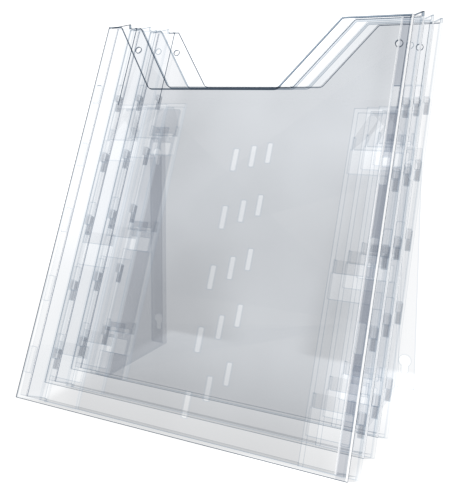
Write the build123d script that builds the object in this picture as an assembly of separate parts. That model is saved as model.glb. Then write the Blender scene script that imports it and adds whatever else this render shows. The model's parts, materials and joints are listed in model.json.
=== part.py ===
from build123d import *
import math
import os

# Leaning magazine rack: three clear pockets hooked one behind another on two stand brackets.
# World frame, millimetres: X to the right, Y to the rear, Z up, origin at the bottom centre.
# Each pocket is drawn upright in its own frame (X across, Y to the rear, Z up its slope),
# with its front bottom edge on the X axis, and is then leaned back and set on its heel.

# ---- driving dimensions -------------------------------------------------------------
TRAY_WIDTH = 240.0
FRONT_HEIGHT = 287.5        # front panel, measured up the slope
STEP_UP = 12.4              # each pocket sits this much further up the slope
STEP_BACK = 27.6            # and this much further back, square to the panels
TRAY_GAP = 0.6              # daylight between a back panel and the next front panel
WALL = 2.2
SIDE_WALL = 2.0
POCKETS = ("front", "middle", "rear")

# thumb notch in the top edge, shared by the front and back panels
NOTCH_FLOOR = 235.0
NOTCH_LEFT = -69.2
NOTCH_RIGHT = 33.6
HORN_LEFT = -107.8          # inner end of the left horn's flat top
HORN_RIGHT = 71.9           # inner end of the right horn's flat top
NOTCH_RADIUS = 5.0
HORN_RADIUS = 2.5
PEAK_HEIGHT = 303.4         # top of the side wall, just ahead of the back panel
PEAK_SETBACK = 1.5
CORNER_RADIUS = 1.2         # outside corners between the front panel and the side walls

# side channels and the windows in their front strips
CHANNEL_WALL = 111.4        # inner face of the pocket's own side wall
CHANNEL_WALL_THICK = 1.4
CHANNEL_WALL_DROP = 1.0     # its top edge lies this far below the panels' tops
WINDOW_WIDTH = 4.6
WINDOW_HEIGHT = 17.7
WINDOW_FIRST = 18.3         # bottom edge of the lowest window
WINDOW_PITCH = 51.2
WINDOW_COUNT = 5
TOP_WINDOW_HEIGHT = 14.2

# hooks on the back panel that hang in the next pocket's windows
HOOK_WIDTH = 3.9
HOOK_NECK = 7.0
TOP_HOOK_NECK = 4.5
HOOK_LIP_DROP = 8.0
HOOK_LIP_THICK = 1.8
HOOK_CLEAR = 0.3
HOOK_ROOT = 0.5             # how far each hook is bedded in its back panel

# tracks for the stand brackets, with a row of cut-outs in each
TRACK_INNER = 85.0
TRACK_DEPTH = 2.6
TRACK_TOP = 228.5
CUTOUT_FIRST = 18.4
CUTOUT_PITCH = 83.1
CUTOUT_HEIGHT = 16.4
CUTOUT_COUNT = 3
TONGUE_SLIT = 1.0
TONGUE_LENGTH = 8.5
TONGUE_INSET = 0.6
NIB = (7.0, 0.9, 1.2)       # snap nib: across, out of the track floor, up the slope
NIB_X = 98.4
NIB_HEIGHT = 227.1

# central column of slots and the screw holes in the horns
SLOT_WIDTH = 4.0
SLOT_HEIGHT = 16.5
SLOT_FIRST = 11.5
SLOT_PITCH = 42.8
SLOT_COUNT = 5
SCREW_X = 105.6
SCREW_HEIGHT = 280.0
SCREW_RADIUS = 2.3
SCREW_HEAD_RADIUS = 4.3
SCREW_SINK = 1.0            # depth of the countersink, in the panel's front face

# stand brackets
STAND_REAR = 172.9          # rear face behind the front pocket's front bottom edge
WEB_INNER = 101.4
WEB_THICK = 2.8
REAR_FLANGE_WIDTH = 15.0
FLANGE_THICK = 2.3
FLANGE_RAIL = 2.4           # plain edge left beside each opening of the front flange
FLANGE_CORNER = 2.0
FLANGE_SINK = 0.1           # how far its rear face lies inside the back panel's rear face
FRONT_FLANGE_INNER = 88.2
FRONT_FLANGE_OUTER = 111.1
FRONT_FLANGE_TOP = 226.4
FLANGE_RUN_OUT = 40.0       # drawn this far below the pocket, then cut off at the desk
WEB_ROOT = 0.2              # how far the web is bedded in the front flange
REAR_FLANGE_CLEAR = 5.2     # the rear flange starts this far behind the back panel
FLANGE_OPENING_ABOVE = 3.4  # how far the flange's opening runs above the cut-out
BRACKET_HOOK_WIDTH = 14.0
BRACKET_HOOK_BAR = 4.7
BRACKET_HOOK_RISE = 7.0
KEYHOLE_X = 108.9
KEYHOLE_HEIGHTS = (22.0, 169.0)
KEYHOLE_HEAD_RADIUS = 4.4
KEYHOLE_SLOT_RADIUS = 2.4
KEYHOLE_DROP = 7.8
SLIDE_CLEAR = 0.3
TRAVEL = 8.6                # lift that frees every hook

# ---- worked out from them -------------------------------------------------------------
HALF = TRAY_WIDTH / 2
DEPTH = STEP_BACK - TRAY_GAP
LEAN = math.degrees(math.atan2(STEP_UP, STEP_BACK))
GROUND_PITCH = math.hypot(STEP_UP, STEP_BACK)
HEEL = DEPTH * math.sin(math.radians(LEAN))
BACK_HEIGHT = FRONT_HEIGHT + STEP_UP
CHANNEL_OUTER = CHANNEL_WALL + CHANNEL_WALL_THICK
WINDOW_X = (CHANNEL_OUTER + HALF - SIDE_WALL) / 2
TRACK_FLOOR = DEPTH - TRACK_DEPTH
REACH = 400.0               # longer than the rack in any direction
CUT_OVER = 1.0              # how far a cutter runs past the face it cuts


def block(x0, x1, y0, y1, z0, z1):
    """A box between two corners."""
    centre = ((x0 + x1) / 2, (y0 + y1) / 2, (z0 + z1) / 2)
    return Pos(*centre) * Box(x1 - x0, y1 - y0, z1 - z0)


def pair(make):
    """A solid for the right-hand side and its mirror image for the left."""
    right = make()
    return right + mirror(right, Plane.YZ)


def panel(height_shift, half_width, y0, y1):
    """A flat panel with the thumb notch in its top edge."""
    top = FRONT_HEIGHT + height_shift
    notch = NOTCH_FLOOR + height_shift
    outline = Polyline(
        (-half_width, 0),
        (-half_width, top),
        (HORN_LEFT, top),
        (NOTCH_LEFT, notch),
        (NOTCH_RIGHT, notch),
        (HORN_RIGHT, top),
        (half_width, top),
        (half_width, 0),
        close=True,
    )
    face = make_face(Plane.XZ * outline)
    inner = [v for v in face.vertices() if abs(v.Z - notch) < 0.1]
    face = fillet(inner, NOTCH_RADIUS)
    upper = [v for v in face.vertices() if v.Z > top - 0.1 and abs(v.X) < half_width - 0.1]
    face = fillet(upper, HORN_RADIUS)
    return Pos(0, y0, 0) * extrude(face, y1 - y0, dir=(0, 1, 0))


def across(points, x0, x1):
    """A prism across the tray from an outline given as (rearward, up) points."""
    outline = Polyline(*points, close=True)
    face = make_face(Plane.YZ * outline)
    return Pos(x0, 0, 0) * extrude(face, x1 - x0, dir=(1, 0, 0))


def window_bottom(index):
    return WINDOW_FIRST + index * WINDOW_PITCH


def cutout_bottom(index):
    return CUTOUT_FIRST + index * CUTOUT_PITCH


def side_wall():
    points = (
        (0, 0),
        (0, FRONT_HEIGHT),
        (WALL, FRONT_HEIGHT),
        (DEPTH - PEAK_SETBACK, PEAK_HEIGHT),
        (DEPTH, BACK_HEIGHT),
        (DEPTH, 0),
    )
    return across(points, HALF - SIDE_WALL, HALF)


def strip_windows():
    """The row of windows in one front strip, as a cutter."""
    row = []
    for index in range(WINDOW_COUNT):
        height = TOP_WINDOW_HEIGHT if index == WINDOW_COUNT - 1 else WINDOW_HEIGHT
        z0 = window_bottom(index)
        x0 = WINDOW_X - WINDOW_WIDTH / 2
        front, back = -CUT_OVER, WALL + CUT_OVER
        row.append(block(x0, x0 + WINDOW_WIDTH, front, back, z0, z0 + height))
    return Part() + row


def floor_relief():
    """Where the floor makes room for a track of the back panel, as a cutter."""
    front = TRACK_FLOOR - WALL
    top = WALL + CUT_OVER
    return block(TRACK_INNER - WALL, CHANNEL_WALL, front, REACH, -CUT_OVER, top)


def front_shell():
    """Front panel, outer side walls and floor of one pocket."""
    body = panel(0, HALF, 0, WALL) + pair(side_wall)
    inner = HALF - SIDE_WALL
    body += block(-inner, inner, WALL, DEPTH - WALL, 0, WALL)
    body -= pair(floor_relief)
    corners = body.edges().filter_by(Axis.Z).filter_by_position(Axis.Y, -0.1, 0.1)
    corners = [e for e in corners if abs(e.center().X) > HALF - 0.1]
    body = fillet(corners, CORNER_RADIUS)
    return body - pair(strip_windows)


def channel_wall():
    """The pocket's own side wall, inside the outer one."""
    top = BACK_HEIGHT - CHANNEL_WALL_DROP
    points = (
        (WALL, WALL),
        (WALL, FRONT_HEIGHT - CHANNEL_WALL_DROP),
        (DEPTH - WALL, top),
        (DEPTH, top),
        (DEPTH, WALL),
    )
    return across(points, CHANNEL_WALL, CHANNEL_OUTER)


def track():
    """The sunk strip that a stand bracket slides in: its floor, inner side and top end."""
    inside = TRACK_INNER - WALL
    front = TRACK_FLOOR - WALL
    body = block(inside, CHANNEL_WALL, front, TRACK_FLOOR, 0, TRACK_TOP + WALL)
    body += block(inside, TRACK_INNER, front, DEPTH, 0, TRACK_TOP + WALL)
    body += block(inside, CHANNEL_WALL, front, DEPTH, TRACK_TOP, TRACK_TOP + WALL)
    nib_x, nib_out, nib_up = NIB
    body += block(
        NIB_X - nib_x / 2,
        NIB_X + nib_x / 2,
        TRACK_FLOOR,
        TRACK_FLOOR + nib_out,
        NIB_HEIGHT - nib_up / 2,
        NIB_HEIGHT + nib_up / 2,
    )
    return body


def track_recess():
    """The strip of the plain back panel that the track replaces, as a cutter."""
    front, back = DEPTH - WALL, DEPTH + CUT_OVER
    return block(TRACK_INNER - WALL, CHANNEL_WALL, front, back, -CUT_OVER, TRACK_TOP)


def track_cutouts():
    """The cut-outs in a track floor and the slits beside the spring tongue above each."""
    cutters = []
    front = TRACK_FLOOR - WALL - CUT_OVER
    back = DEPTH + CUT_OVER
    left_slit = TRACK_INNER + TONGUE_INSET
    right_slit = CHANNEL_WALL - TONGUE_INSET - TONGUE_SLIT
    for index in range(CUTOUT_COUNT):
        z0 = cutout_bottom(index)
        z1 = z0 + CUTOUT_HEIGHT
        cutters.append(block(TRACK_INNER, CHANNEL_WALL, front, back, z0, z1))
        for x0 in (left_slit, right_slit):
            x1 = x0 + TONGUE_SLIT
            cutters.append(block(x0, x1, front, back, z1 - CUT_OVER, z1 + TONGUE_LENGTH))
    return Part() + cutters


def centre_slots():
    """The upright column of slots in the middle of the back panel, as a cutter."""
    cutters = []
    half = SLOT_WIDTH / 2
    front, back = DEPTH - WALL - CUT_OVER, DEPTH + CUT_OVER
    for index in range(SLOT_COUNT):
        z0 = SLOT_FIRST + index * SLOT_PITCH
        cutters.append(block(-half, half, front, back, z0, z0 + SLOT_HEIGHT))
    return Part() + cutters


def screw_hole():
    """A hole through the back panel, countersunk from inside the pocket, as a cutter."""
    forward = Rot(90, 0, 0)
    drill = forward * Cylinder(SCREW_RADIUS, WALL + 2 * CUT_OVER)
    flare = forward * Cone(SCREW_RADIUS, SCREW_HEAD_RADIUS, SCREW_SINK)
    middle = Pos(SCREW_X, DEPTH - WALL / 2, SCREW_HEIGHT)
    mouth = Pos(SCREW_X, DEPTH - WALL + SCREW_SINK / 2, SCREW_HEIGHT)
    return middle * drill + mouth * flare


def next_tray_hooks():
    """Hooks on the back of one side channel that hang in the next pocket's windows."""
    lip_front = DEPTH + TRAY_GAP + WALL + HOOK_CLEAR
    lip_back = lip_front + HOOK_LIP_THICK
    x0 = WINDOW_X - HOOK_WIDTH / 2
    x1 = x0 + HOOK_WIDTH
    row = []
    for index in range(WINDOW_COUNT):
        neck = TOP_HOOK_NECK if index == WINDOW_COUNT - 1 else HOOK_NECK
        z0 = window_bottom(index) + STEP_UP + HOOK_CLEAR
        row.append(block(x0, x1, DEPTH - HOOK_ROOT, lip_back, z0, z0 + neck))
        row.append(block(x0, x1, lip_front, lip_back, z0 - HOOK_LIP_DROP, z0 + neck))
    return Part() + row


def back_moulding():
    """Back panel, pocket side walls, tracks and hooks of one pocket."""
    inner = HALF - SIDE_WALL
    body = panel(STEP_UP, inner, DEPTH - WALL, DEPTH)
    body -= pair(track_recess)
    body += pair(channel_wall)
    body += pair(track)
    body -= pair(track_cutouts)
    body -= centre_slots()
    body -= pair(screw_hole)
    body += pair(next_tray_hooks)
    return body


def place_tray(index):
    """The location of a pocket in the leaning stack."""
    return Pos(0, index * GROUND_PITCH, HEEL) * Rot(-LEAN, 0, 0)


def front_flange():
    """The bracket's sloping flange, in the rear pocket's frame, with its three hooks."""
    left, right = FRONT_FLANGE_INNER, FRONT_FLANGE_OUTER
    back = DEPTH - FLANGE_SINK
    front = back - FLANGE_THICK + FLANGE_SINK
    body = block(left, right, front, back, -FLANGE_RUN_OUT, FRONT_FLANGE_TOP)
    top = body.edges().filter_by(Axis.Y).filter_by_position(Axis.Z, 0, REACH)
    body = fillet(top, FLANGE_CORNER)
    x0, x1 = left + FLANGE_RAIL, right - FLANGE_RAIL
    h0 = (left + right - BRACKET_HOOK_WIDTH) / 2
    h1 = h0 + BRACKET_HOOK_WIDTH
    prong_back = TRACK_FLOOR - WALL - SLIDE_CLEAR
    prong_front = prong_back - HOOK_LIP_THICK
    for index in range(CUTOUT_COUNT):
        z0 = cutout_bottom(index)
        z1 = z0 + CUTOUT_HEIGHT
        opening_top = z1 + FLANGE_OPENING_ABOVE
        body -= block(x0, x1, front - CUT_OVER, back + CUT_OVER, z0, opening_top)
        bar_top = z1 - SLIDE_CLEAR
        bar_bottom = bar_top - BRACKET_HOOK_BAR
        body += block(x0, x1, front, back, bar_bottom, bar_top)
        body += block(h0, h1, prong_front, back, bar_bottom, bar_top)
        body += block(h0, h1, prong_front, prong_back, bar_bottom, z1 + BRACKET_HOOK_RISE)
    return body


def keyhole(height):
    """A keyhole through the rear flange, as a cutter."""
    forward = Rot(90, 0, 0)
    y = STAND_REAR - FLANGE_THICK / 2
    half = FLANGE_THICK / 2 + CUT_OVER
    r = KEYHOLE_SLOT_RADIUS
    tail_z = height - KEYHOLE_DROP
    head = Pos(KEYHOLE_X, y, height) * (forward * Cylinder(KEYHOLE_HEAD_RADIUS, half * 2))
    tail = Pos(KEYHOLE_X, y, tail_z) * (forward * Cylinder(r, half * 2))
    neck = block(KEYHOLE_X - r, KEYHOLE_X + r, y - half, y + half, tail_z, height)
    return head + tail + neck


def bracket():
    """The right-hand stand bracket, in the world frame."""
    rear_pocket = place_tray(len(POCKETS) - 1)
    sloping = rear_pocket * front_flange()
    web_front = DEPTH - FLANGE_SINK - WEB_ROOT
    behind_flange = rear_pocket * block(0, REACH, web_front, REACH, -REACH, FRONT_FLANGE_TOP)
    flange_top = DEPTH + REAR_FLANGE_CLEAR
    behind_hooks = rear_pocket * block(0, REACH, flange_top, REACH, -REACH, REACH)
    below_desk = block(0, REACH, -REACH, REACH, -REACH, 0)
    web_outer = WEB_INNER + WEB_THICK
    web = block(WEB_INNER, web_outer, 0, STAND_REAR, 0, REACH) & behind_flange
    flange_outer = WEB_INNER + REAR_FLANGE_WIDTH
    rear_front = STAND_REAR - FLANGE_THICK
    rear = block(WEB_INNER, flange_outer, rear_front, STAND_REAR, 0, REACH) & behind_hooks
    body = sloping + web + rear - below_desk
    for height in KEYHOLE_HEIGHTS:
        body -= keyhole(height)
    return body


def build():
    """Every piece in the world frame, by node name."""
    shell = front_shell()
    back = back_moulding()
    pieces = {}
    for index, name in enumerate(POCKETS):
        place = place_tray(index)
        pieces[name + "_pocket_shell"] = place * shell
        pieces[name + "_pocket_back"] = place * back
    right = bracket()
    pieces["right_stand_bracket"] = right
    pieces["left_stand_bracket"] = mirror(right, Plane.YZ)
    return pieces


def main():
    pieces = build()
    boxes = [piece.bounding_box() for piece in pieces.values()]
    front = min(box.min.Y for box in boxes)
    rear = max(box.max.Y for box in boxes)
    to_origin = Pos(0, -(front + rear) / 2, 0)
    os.makedirs("parts", exist_ok=True)
    for name, piece in pieces.items():
        export_step(to_origin * piece, f"parts/{name}.step")
        print(name, len(piece.solids()), round(piece.volume))
    print("lean", round(LEAN, 3), "depth", round(rear - front, 3), "shift", -(front + rear) / 2)


main()
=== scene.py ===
import bmesh
import bpy
import json
import math

from mathutils import Matrix, Vector

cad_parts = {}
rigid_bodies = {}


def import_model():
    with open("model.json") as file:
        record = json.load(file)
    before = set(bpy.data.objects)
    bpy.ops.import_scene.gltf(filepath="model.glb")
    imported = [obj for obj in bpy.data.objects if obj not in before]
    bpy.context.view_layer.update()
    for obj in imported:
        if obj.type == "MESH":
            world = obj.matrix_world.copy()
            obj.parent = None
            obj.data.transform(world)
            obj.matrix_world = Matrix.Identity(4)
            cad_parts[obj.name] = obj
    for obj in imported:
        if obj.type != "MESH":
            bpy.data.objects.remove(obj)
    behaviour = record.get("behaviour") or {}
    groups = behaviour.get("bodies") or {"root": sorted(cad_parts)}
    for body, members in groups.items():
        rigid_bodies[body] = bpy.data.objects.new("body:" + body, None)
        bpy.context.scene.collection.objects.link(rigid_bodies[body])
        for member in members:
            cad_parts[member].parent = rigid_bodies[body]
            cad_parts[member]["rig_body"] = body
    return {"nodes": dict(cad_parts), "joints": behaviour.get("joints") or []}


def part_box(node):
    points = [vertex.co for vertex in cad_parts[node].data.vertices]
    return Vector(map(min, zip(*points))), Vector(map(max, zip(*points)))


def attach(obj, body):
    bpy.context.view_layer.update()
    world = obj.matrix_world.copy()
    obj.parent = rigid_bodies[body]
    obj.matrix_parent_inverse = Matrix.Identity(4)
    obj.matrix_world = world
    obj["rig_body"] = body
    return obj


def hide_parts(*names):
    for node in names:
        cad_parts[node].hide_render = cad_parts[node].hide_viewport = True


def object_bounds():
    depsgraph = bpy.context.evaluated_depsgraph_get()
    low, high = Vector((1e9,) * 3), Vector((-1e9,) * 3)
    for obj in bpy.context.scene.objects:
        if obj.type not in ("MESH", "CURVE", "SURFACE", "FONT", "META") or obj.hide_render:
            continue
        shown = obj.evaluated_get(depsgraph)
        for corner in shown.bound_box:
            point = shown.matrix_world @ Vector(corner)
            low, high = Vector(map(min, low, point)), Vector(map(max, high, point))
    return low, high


# Looks for the leaning rack of clear pockets. Metres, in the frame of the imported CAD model.
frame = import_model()
cad_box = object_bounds()
low, high = cad_box
scene = bpy.context.scene

# ---- sizes, in a pocket's own frame: across, rearward from its front, and up its slope ------
POCKETS = ("front", "middle", "rear")
POCKET_DEPTH = 0.027            # outside, square to the panels
WALL = 0.0022
PANEL_MIDDLE = POCKET_DEPTH - WALL / 2
HOOK_START = POCKET_DEPTH + 0.0003      # what lies rearward of this is a hook
NOTCH_SILL = 0.235              # the lower edge of the thumb notches
ABOVE_SILL = NOTCH_SILL - 0.001     # takes in the sill itself
TOP_WINDOW = 0.245              # the topmost window of a front strip ends below this
CHANNEL_WALL = (0.1114, 0.1128)     # the inner wall of each side channel
SEAM_REACH = WALL * 1.3         # how far back a channel wall's painted line shows: painted shade on the left wall, a painted highlight on the right
SIDE_WALL = 0.1170              # every face of a side wall lies outside this
FRONT_CORNER = 0.1186           # just inside the rounded front corners
RIGHT_OUTLINE = 0.1199          # outside this, the right front corner is a painted dark outline; inside it, a painted highlight
BEVEL = 0.00045                 # moulded radius on every sharp edge
BEVEL_STEPS = 2
BEVEL_PROFILE = 0.5             # round

# ---- what tells one face from another -------------------------------------------------------
EDGE_WIDTH = 0.0032             # a face narrower than this is the edge of a wall
NARROW = 0.001                  # less than any wall is thick
LONG = 0.05                     # a face that runs up the pocket is taller than this
FLAT = 0.0001                   # a face that spans less than this on an axis is square to it
TOLERANCE = 0.0002              # on either side of a channel wall
WELD = 0.000001                 # points closer than this are one point
COPLANAR = math.radians(1)      # faces that turn by less than this are merged
SHARP = 0.5                     # an edge that turns by more than this, in radians, is rounded

# ---- plastic --------------------------------------------------------------------------------
ROUGH = (0.02, 0.05)            # least and most roughness of the polish
HIGHLIGHT_ROUGH = (0.35, 0.6)             # and of the painted white highlight
POLISH_SCALE = 14.0             # of the noise that varies the polish and the tint
HIGHLIGHT_NOISE_SCALE = 80.0              # and of the noise that varies the painted highlight's roughness
NOISE_DETAIL = 2.0
NOISE_RANGE = (0.3, 0.7)
UNEVEN = 0.006                  # share by which a tint varies, either way
FACE_GLOSS = 0.0015             # share mirrored when a face is seen square on
EDGE_GLOSS = 0.01               # and on the edge of a wall
RIM_GLOSS = 0.12                # share mirrored at a glancing view
RIM_BLEND = 0.5                 # even from square on to glancing, before RIM_POWER
RIM_POWER = 5.0                 # how steeply the gloss grows towards the glancing view
# places across the rack where a tint changes: painted light where it gets clearer, painted shade
# where it gets darker
LIT_SIDE = (0.094, 0.110)       # painted light: back panels and brackets are tinted clearer towards the lit right side
LEFT_SIDE = (-0.084, -0.104)    # painted light: back panels are tinted clearer towards the left side
FRONT_STRIP = (0.1126, 0.1132)  # painted shade: the first front strip, outside its channel wall, is tinted darker
LEFT_OUTLINE = (-0.1179, -0.1183)   # painted shade: and so is the left edge of each front

# ---- light: brightness of the white set, where 1 is white -----------------------------------
ACROSS = (0.878, 0.478, 0.0)    # from the set's dim left side to its right side
SPAN = (-0.10, 0.07)            # where it goes from DIM to BRIGHT
SPAN_RIGHT = (0.20, 0.30)       # and where it goes on to DIM_RIGHT
DIM = 1.28
BRIGHT = 1.52
DIM_RIGHT = 1.08
CEILING = (0.45, 0.75)          # sines of the angle upwards over which the tent dims
CEILING_DIM = 0.5               # to this share

# ---- floor, glowing with painted light and painted shade under the rack ---------------------
FLOOR_RADIUS = 12.0
FLOOR_SIDES = 96
FLOOR_DROP = 0.0004             # clear of the brackets' feet
FLOOR_MATT = 0.05               # reflectance on top of its own painted brightness
FLOOR_ROUGH = 0.9
TURN = 0.15                     # distance at which a direction counts half as on the backdrop
NEAR_DIM = 1.08                 # the floor's painted dim side, close to the rack
FADE_DIM = (0.15, 0.9)          # distances over which it reaches DIM
NEAR_BRIGHT = 1.34              # the floor's painted bright side, and the rear of the painted shade patch below
FADE_BRIGHT = (0.2, 3.0)        # distances over which it reaches BRIGHT
PAINTED_SHADE_UNDER = 0.90                    # the painted shade patch under the rack, at its front
PATCH_MIDDLE = 0.010            # the painted shade patch's middle lies this far behind the rack's
PATCH_REAR = 1.2                # half depths behind the rack's middle where it would be brightest
PATCH_EDGE = (-0.010, 0.003)    # how far outside the patch it blends into the open floor

# ---- camera ---------------------------------------------------------------------------------
LENS = 54.9
SENSOR = 36.0
SHIFT = (0.050, -0.1404)
CAMERA_RIGHT = 0.2380
CAMERA_AHEAD = 0.3802           # in front of the rack's front
CAMERA_HEIGHT = 0.2274
CAMERA_TILT = math.radians(83.0)
CAMERA_TURN = math.radians(28.56)

# ---- render ---------------------------------------------------------------------------------
CLEAR_FACES = 96                # how many clear faces a ray may pass


def add_camera():
    data = bpy.data.cameras.new("camera")
    data.lens = LENS
    data.sensor_width = SENSOR
    data.shift_x, data.shift_y = SHIFT
    camera = bpy.data.objects.new("camera", data)
    scene.collection.objects.link(camera)
    camera.location = (CAMERA_RIGHT, low.y - CAMERA_AHEAD, CAMERA_HEIGHT)
    camera.rotation_euler = (CAMERA_TILT, 0, CAMERA_TURN)
    scene.camera = camera


# ---- node helpers ---------------------------------------------------------------------------
def new_material(name):
    material = bpy.data.materials.new(name)
    material.use_nodes = True
    tree = material.node_tree
    tree.nodes.clear()
    return material, tree


def put(tree, socket, value):
    """Link an output to an input socket, or set the socket to a plain value."""
    if isinstance(value, bpy.types.NodeSocket):
        tree.links.new(value, socket)
    else:
        socket.default_value = value


def node(tree, kind, **inputs):
    made = tree.nodes.new(kind)
    for key, value in inputs.items():
        put(tree, made.inputs[key.replace("_", " ")], value)
    return made


def maths(tree, operation, *values):
    made = tree.nodes.new("ShaderNodeMath")
    made.operation = operation
    for socket, value in zip(made.inputs, values):
        put(tree, socket, value)
    return made.outputs[0]


def ramp(tree, value, source, target, interpolation="SMOOTHSTEP"):
    """A value's place in the source range, mapped to the target range."""
    spread = node(tree, "ShaderNodeMapRange", Value=value)
    spread.interpolation_type = interpolation
    for key, end in zip(("From Min", "From Max", "To Min", "To Max"), (*source, *target)):
        spread.inputs[key].default_value = end
    return spread.outputs[0]


def blend(tree, share, first, second):
    mixed = tree.nodes.new("ShaderNodeMix")
    for number, value in ((0, share), (2, first), (3, second)):
        put(tree, mixed.inputs[number], value)
    return mixed.outputs[0]


def blend_colour(tree, share, first, second):
    mixed = tree.nodes.new("ShaderNodeMix")
    mixed.data_type = "RGBA"
    for number, value in ((0, share), (6, first), (7, second)):
        put(tree, mixed.inputs[number], value)
    return mixed.outputs[2]


def own_place(tree):
    """The place in an object's own space, which for a piece at rest is the row frame."""
    return tree.nodes.new("ShaderNodeTexCoord").outputs["Object"]


def axes_of(tree, vector):
    split = tree.nodes.new("ShaderNodeSeparateXYZ")
    tree.links.new(vector, split.inputs[0])
    return split.outputs


def mottle(tree, scale, span):
    """Soft noise in the piece's own space, mapped to a span."""
    noise = node(
        tree, "ShaderNodeTexNoise", Vector=own_place(tree), Scale=scale, Detail=NOISE_DETAIL
    )
    return ramp(tree, noise.outputs["Fac"], NOISE_RANGE, span, "LINEAR")


def mix_shaders(tree, share, first, second):
    mixed = tree.nodes.new("ShaderNodeMixShader")
    for socket, value in zip(mixed.inputs, (share, first.outputs[0], second.outputs[0])):
        put(tree, socket, value)
    return mixed


def show(tree, shader):
    out = tree.nodes.new("ShaderNodeOutputMaterial")
    tree.links.new(shader.outputs[0], out.inputs["Surface"])


# ---- materials ------------------------------------------------------------------------------
def clear_plastic(name, passed, gloss=FACE_GLOSS, bands=()):
    """Thin clear plastic: what is behind shows tinted, with a gloss that grows to the rim.

    Each band is a range across the rack, and the tint that starts there: painted light where the
    tint is clearer, painted shade where it is darker.
    """
    material, tree = new_material(name)
    uneven = mottle(tree, POLISH_SCALE, (0.0, 1.0))
    darker = (*[c * (1 - UNEVEN) for c in passed], 1)
    lighter = (*[min(1.0, c * (1 + UNEVEN)) for c in passed], 1)
    colour = blend_colour(tree, uneven, darker, lighter)
    for where, tint in bands:
        across = axes_of(tree, own_place(tree))["X"]
        share = ramp(tree, across, where, (0.0, 1.0))
        colour = blend_colour(tree, share, colour, (*tint, 1))
    through = node(tree, "ShaderNodeBsdfTransparent", Color=colour)
    softness = maths(tree, "MULTIPLY_ADD", uneven, ROUGH[1] - ROUGH[0], ROUGH[0])
    shine = node(tree, "ShaderNodeBsdfGlossy", Roughness=softness, Color=(1, 1, 1, 1))
    rim = node(tree, "ShaderNodeLayerWeight", Blend=RIM_BLEND)
    grows = maths(tree, "POWER", rim.outputs["Facing"], RIM_POWER)
    mirrored = maths(tree, "MULTIPLY_ADD", grows, RIM_GLOSS * (1 - gloss), gloss)
    show(tree, mix_shaders(tree, mirrored, through, shine))
    return material


def highlight_plastic(name, colour, share):
    """A painted white highlight, for edges that show bright: a rough white share over clear
    plastic.
    """
    material, tree = new_material(name)
    highlight_shader = node(tree, "ShaderNodeBsdfPrincipled", Base_Color=(*colour, 1))
    tree.links.new(mottle(tree, HIGHLIGHT_NOISE_SCALE, HIGHLIGHT_ROUGH), highlight_shader.inputs["Roughness"])
    clear = node(tree, "ShaderNodeBsdfTransparent", Color=(1, 1, 1, 1))
    show(tree, mix_shaders(tree, share, clear, highlight_shader))
    return material


MATERIALS = {
    # painted shade: the fronts' bands are tinted darker on the first strip and on the left edge
    "front": clear_plastic(
        "clear_front_panel",
        (0.985, 0.987, 0.989),
        bands=((FRONT_STRIP, (0.83, 0.84, 0.86)), (LEFT_OUTLINE, (0.58, 0.62, 0.66))),
    ),
    "inner_front": clear_plastic(
        "clear_inner_front_panel",
        (0.985, 0.987, 0.989),
        bands=((LEFT_OUTLINE, (0.78, 0.81, 0.84)),),
    ),
    # painted shade: the left side wall is tinted darker than the right, a shaded and a lit copy
    # of one plastic
    "left_side": clear_plastic("clear_left_side_wall", (0.930, 0.934, 0.940)),
    "right_side": clear_plastic("clear_right_side_wall", (0.980, 0.982, 0.985)),
    "floor": clear_plastic("clear_pocket_floor", (0.800, 0.803, 0.808)),
    # painted light: the back panels are tinted clearer towards each side
    "back": clear_plastic(
        "clear_back_panel",
        (0.892, 0.895, 0.900),
        bands=((LIT_SIDE, (0.970, 0.971, 0.974)), (LEFT_SIDE, (0.945, 0.947, 0.951))),
    ),
    "channel": clear_plastic("clear_channel", (0.988, 0.990, 0.993)),
    # painted light: the brackets are tinted clearer towards the lit right side
    "stand": clear_plastic(
        "clear_bracket", (0.903, 0.908, 0.918), bands=((LIT_SIDE, (0.940, 0.944, 0.950)),)
    ),
    "hook": clear_plastic("clear_hook", (0.74, 0.75, 0.77)),
    # painted shade: the edge tints below paint the dark lines that edges of clear walls show,
    # darkest on the outer rim
    "edge": clear_plastic("wall_edge", (0.95, 0.955, 0.96), EDGE_GLOSS),
    "foot": clear_plastic("bottom_edge", (0.62, 0.65, 0.69), EDGE_GLOSS),
    "outline": clear_plastic("front_panel_outline", (0.32, 0.38, 0.44), EDGE_GLOSS),
    "inner_outline": clear_plastic("inner_panel_outline", (0.80, 0.83, 0.86), EDGE_GLOSS),
    # painted shade: the left channel walls' front edges are tinted dark
    "painted_dark_line": clear_plastic("joint_line_painted_shade", (0.40, 0.44, 0.50), EDGE_GLOSS),
    "rim": clear_plastic("outer_rim", (0.10, 0.14, 0.19), EDGE_GLOSS),
    "inner_rim": clear_plastic("inner_rim", (0.52, 0.57, 0.62), EDGE_GLOSS),
    "bevel": clear_plastic("rounded_edge", (0.84, 0.865, 0.89), EDGE_GLOSS / 2),
    # painted highlight: a white share on edges that show bright
    "painted_white_highlight": highlight_plastic("painted_edge_highlight", (0.98, 0.98, 0.99), 0.85),
}
SLOTS = list(MATERIALS)


# ---- pieces ---------------------------------------------------------------------------------
lift = Vector(frame["joints"][0]["axis"])
LEAN = math.atan2(lift.y, lift.z)


def pocket_frame(index):
    """The matrix from the row frame to a pocket's own frame."""
    shell_low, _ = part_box(POCKETS[index] + "_pocket_shell")
    heel = POCKET_DEPTH * math.sin(LEAN)
    origin = Matrix.Translation((0, shell_low.y, low.z + heel))
    return (origin @ Matrix.Rotation(-LEAN, 4, "X")).inverted()


def on_channel_wall(across):
    return CHANNEL_WALL[0] - TOLERANCE < abs(across) < CHANNEL_WALL[1] + TOLERANCE


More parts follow.
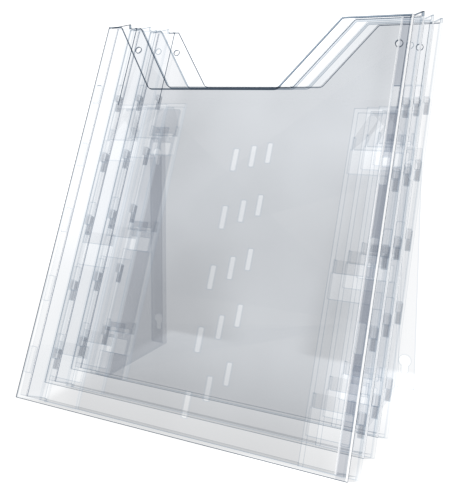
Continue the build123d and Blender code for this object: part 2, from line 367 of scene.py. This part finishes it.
def face_kind(face, to_pocket, base):
    """Which material a face of a pocket moulding or bracket takes."""
    points = [to_pocket @ v.co for v in face.verts]
    ends = [(min(p[axis] for p in points), max(p[axis] for p in points)) for axis in range(3)]
    spans = [end - start for start, end in ends]
    across, rearward, up = [(start + end) / 2 for start, end in ends]
    width = face.calc_area() / max(spans)
    if base == "back":
        if rearward > HOOK_START:
            return "hook"
        # painted highlight: a channel wall's front edge shows white
        crosses = spans[0] > NARROW and width < EDGE_WIDTH
        if on_channel_wall(across) and crosses and rearward < WALL * 2:
            return "painted_white_highlight"
        if width >= EDGE_WIDTH:
            return "back" if abs(rearward - PANEL_MIDDLE) < WALL else "channel"
    if base == "front" and spans[2] > LONG:
        # painted highlight on the right front corner, painted dark outline outside it and on the
        # left
        if abs(across) > FRONT_CORNER and rearward < WALL and width < NARROW:
            return "painted_white_highlight" if FRONT_CORNER < across < RIGHT_OUTLINE else "rim"
        if spans[0] < FLAT and width > EDGE_WIDTH and abs(across) > SIDE_WALL:
            return "left_side" if across < 0 else "right_side"
    # painted shade: the front's bottom edge takes a dark tint
    if base == "front" and spans[2] < FLAT and up < WALL + FLAT:
        return "foot" if rearward < WALL else "floor"
    # painted shade: the outline's narrow faces above the sill take a dark tint
    if base == "front" and width < EDGE_WIDTH and up > ABOVE_SILL:
        return "outline"
    return "edge" if width < EDGE_WIDTH else base


def bevel_kind(face, to_pocket, base):
    """Which material a rounded edge takes: painted dark shade on the outline and the left channel
    walls, a painted white highlight on the right ones.
    """
    if base == "stand":
        return "bevel"
    across, rearward, up = to_pocket @ face.calc_center_median()
    # painted shade on the left channel walls' front, a painted highlight on the right
    if base == "back" and on_channel_wall(across) and rearward < SEAM_REACH:
        return "painted_dark_line" if across < 0 else "painted_white_highlight"
    on_panel = abs(rearward - WALL / 2) < WALL or abs(rearward - PANEL_MIDDLE) < WALL
    on_window = CHANNEL_WALL[1] < abs(across) < SIDE_WALL + NARROW and up < TOP_WINDOW
    # painted shade: the outline's rounded edges take the dark rim tint
    if up > ABOVE_SILL and (on_panel or abs(across) > SIDE_WALL) and not on_window:
        return "rim"
    on_foot = rearward < NARROW and up < NARROW
    return "rim" if base == "front" and on_foot else "bevel"


def slot_number(kind, base, index):
    """The painted dark outlines behind the first pocket's are painted paler, but for the rearmost
    panel's.
    """
    rearmost = base == "back" and index == len(POCKETS) - 1
    inner = "inner_" + kind
    return SLOTS.index(inner if index > 0 and not rearmost and inner in SLOTS else kind)


def finish_piece(name, base, index):
    """A copy of a CAD node with rounded edges and a material for each kind of face."""
    source = frame["nodes"][name]
    to_pocket = pocket_frame(index)
    build = bmesh.new()
    build.from_mesh(source.data)
    bmesh.ops.remove_doubles(build, verts=build.verts, dist=WELD)
    bmesh.ops.dissolve_limit(build, angle_limit=COPLANAR, verts=build.verts, edges=build.edges)
    for face in build.faces:
        face.material_index = slot_number(face_kind(face, to_pocket, base), base, index)
    bmesh.ops.bevel(
        build,
        geom=[e for e in build.edges if e.is_manifold and e.calc_face_angle(0) > SHARP],
        offset=BEVEL,
        offset_type="OFFSET",
        segments=BEVEL_STEPS,
        profile=BEVEL_PROFILE,
        affect="EDGES",
        clamp_overlap=False,
        material=SLOTS.index("bevel"),
    )
    for face in build.faces:
        if face.material_index == SLOTS.index("bevel"):
            face.material_index = slot_number(bevel_kind(face, to_pocket, base), base, index)
    used = sorted({face.material_index for face in build.faces})
    for face in build.faces:
        face.material_index = used.index(face.material_index)
    mesh = bpy.data.meshes.new(name + "_finished")
    build.to_mesh(mesh)
    build.free()
    for number in used:
        mesh.materials.append(MATERIALS[SLOTS[number]])
    piece = bpy.data.objects.new(name + "_finished", mesh)
    scene.collection.objects.link(piece)
    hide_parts(name)
    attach(piece, source["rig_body"])


# ---- studio ---------------------------------------------------------------------------------
def side_light(tree, toward, dim, bright):
    """The set's brightness in a direction: dim, then bright, then DIM_RIGHT far right."""
    across = tree.nodes.new("ShaderNodeVectorMath")
    across.operation = "DOT_PRODUCT"
    tree.links.new(toward, across.inputs[0])
    across.inputs[1].default_value = ACROSS
    share = ramp(tree, across.outputs["Value"], SPAN, (0.0, 1.0))
    beyond = ramp(tree, across.outputs["Value"], SPAN_RIGHT, (0.0, 1.0))
    return blend(tree, beyond, blend(tree, share, dim, bright), DIM_RIGHT)


def add_world():
    """A white tent that dims to the left, to the far right and overhead."""
    world = bpy.data.worlds.new("studio")
    scene.world = world
    world.use_nodes = True
    tree = world.node_tree
    tree.nodes.clear()
    toward = tree.nodes.new("ShaderNodeTexCoord").outputs["Generated"]
    ceiling = ramp(tree, axes_of(tree, toward)["Z"], CEILING, (1.0, CEILING_DIM), "LINEAR")
    glow = maths(tree, "MULTIPLY", side_light(tree, toward, DIM, BRIGHT), ceiling)
    sky = node(tree, "ShaderNodeBackground", Color=(1, 1, 1, 1), Strength=glow)
    out = tree.nodes.new("ShaderNodeOutputWorld")
    tree.links.new(sky.outputs[0], out.inputs["Surface"])


def patch_light(tree, axes):
    """The painted shade patch under the rack: how far outside it a floor point lies, and its
    painted brightness.
    """
    wide = maths(tree, "SUBTRACT", maths(tree, "ABSOLUTE", axes["X"]), high.x)
    behind = maths(tree, "SUBTRACT", axes["Y"], PATCH_MIDDLE)
    deep = maths(tree, "SUBTRACT", maths(tree, "ABSOLUTE", behind), high.y - PATCH_MIDDLE)
    inner = ramp(tree, axes["Y"], (low.y, high.y * PATCH_REAR), (PAINTED_SHADE_UNDER, NEAR_BRIGHT))
    return maths(tree, "MAXIMUM", wide, deep), inner


def open_floor_light(tree, place):
    """The floor's painted light outside the patch, which fades into the backdrop farther out."""
    reach = tree.nodes.new("ShaderNodeVectorMath")
    reach.operation = "LENGTH"
    tree.links.new(place, reach.inputs[0])
    distance = reach.outputs["Value"]
    dim = ramp(tree, distance, FADE_DIM, (NEAR_DIM, DIM))
    bright = ramp(tree, distance, FADE_BRIGHT, (NEAR_BRIGHT, BRIGHT))
    toward = tree.nodes.new("ShaderNodeVectorMath")
    toward.operation = "SCALE"
    tree.links.new(place, toward.inputs[0])
    shrink = maths(tree, "DIVIDE", 1.0, maths(tree, "ADD", distance, TURN))
    tree.links.new(shrink, toward.inputs["Scale"])
    return side_light(tree, toward.outputs[0], dim, bright)


def floor_painted_light_and_shade():
    """A glowing floor painted with the backdrop's brightness, and a painted shade patch under the
    rack.
    """
    material, tree = new_material("floor_painted_light_and_shade")
    place = own_place(tree)
    outside, inner = patch_light(tree, axes_of(tree, place))
    clear_of = ramp(tree, outside, PATCH_EDGE, (0.0, 1.0))
    light = blend(tree, clear_of, inner, open_floor_light(tree, place))
    # the floor's glow is painted light, with painted shade in the patch under the rack
    glow = maths(tree, "SUBTRACT", light, FLOOR_MATT)
    matt = node(
        tree,
        "ShaderNodeBsdfPrincipled",
        Base_Color=(FLOOR_MATT, FLOOR_MATT, FLOOR_MATT, 1),
        Roughness=FLOOR_ROUGH,
        Specular_IOR_Level=0.0,
        Emission_Color=(1, 1, 1, 1),
        Emission_Strength=glow,
    )
    show(tree, matt)
    return material


def add_floor():
    mesh = bpy.data.meshes.new("floor")
    build = bmesh.new()
    bmesh.ops.create_circle(build, cap_ends=True, segments=FLOOR_SIDES, radius=FLOOR_RADIUS)
    build.to_mesh(mesh)
    build.free()
    floor = bpy.data.objects.new("floor", mesh)
    floor.location = (0, 0, low.z - FLOOR_DROP)
    scene.collection.objects.link(floor)
    mesh.materials.append(floor_painted_light_and_shade())


def set_up_light_paths():
    """Many clear faces lie behind one another, so light may pass through all of them."""
    scene.view_settings.view_transform = "Standard"
    scene.cycles.max_bounces = 10
    scene.cycles.diffuse_bounces = 1
    scene.cycles.glossy_bounces = 4
    scene.cycles.transparent_max_bounces = CLEAR_FACES
    scene.cycles.min_transparent_bounces = CLEAR_FACES
    scene.cycles.min_light_bounces = 4


add_camera()
add_world()
add_floor()
set_up_light_paths()
for index, pocket in enumerate(POCKETS):
    finish_piece(pocket + "_pocket_shell", "front", index)
    finish_piece(pocket + "_pocket_back", "back", index)
for side in ("left", "right"):
    finish_piece(side + "_stand_bracket", "stand", len(POCKETS) - 1)
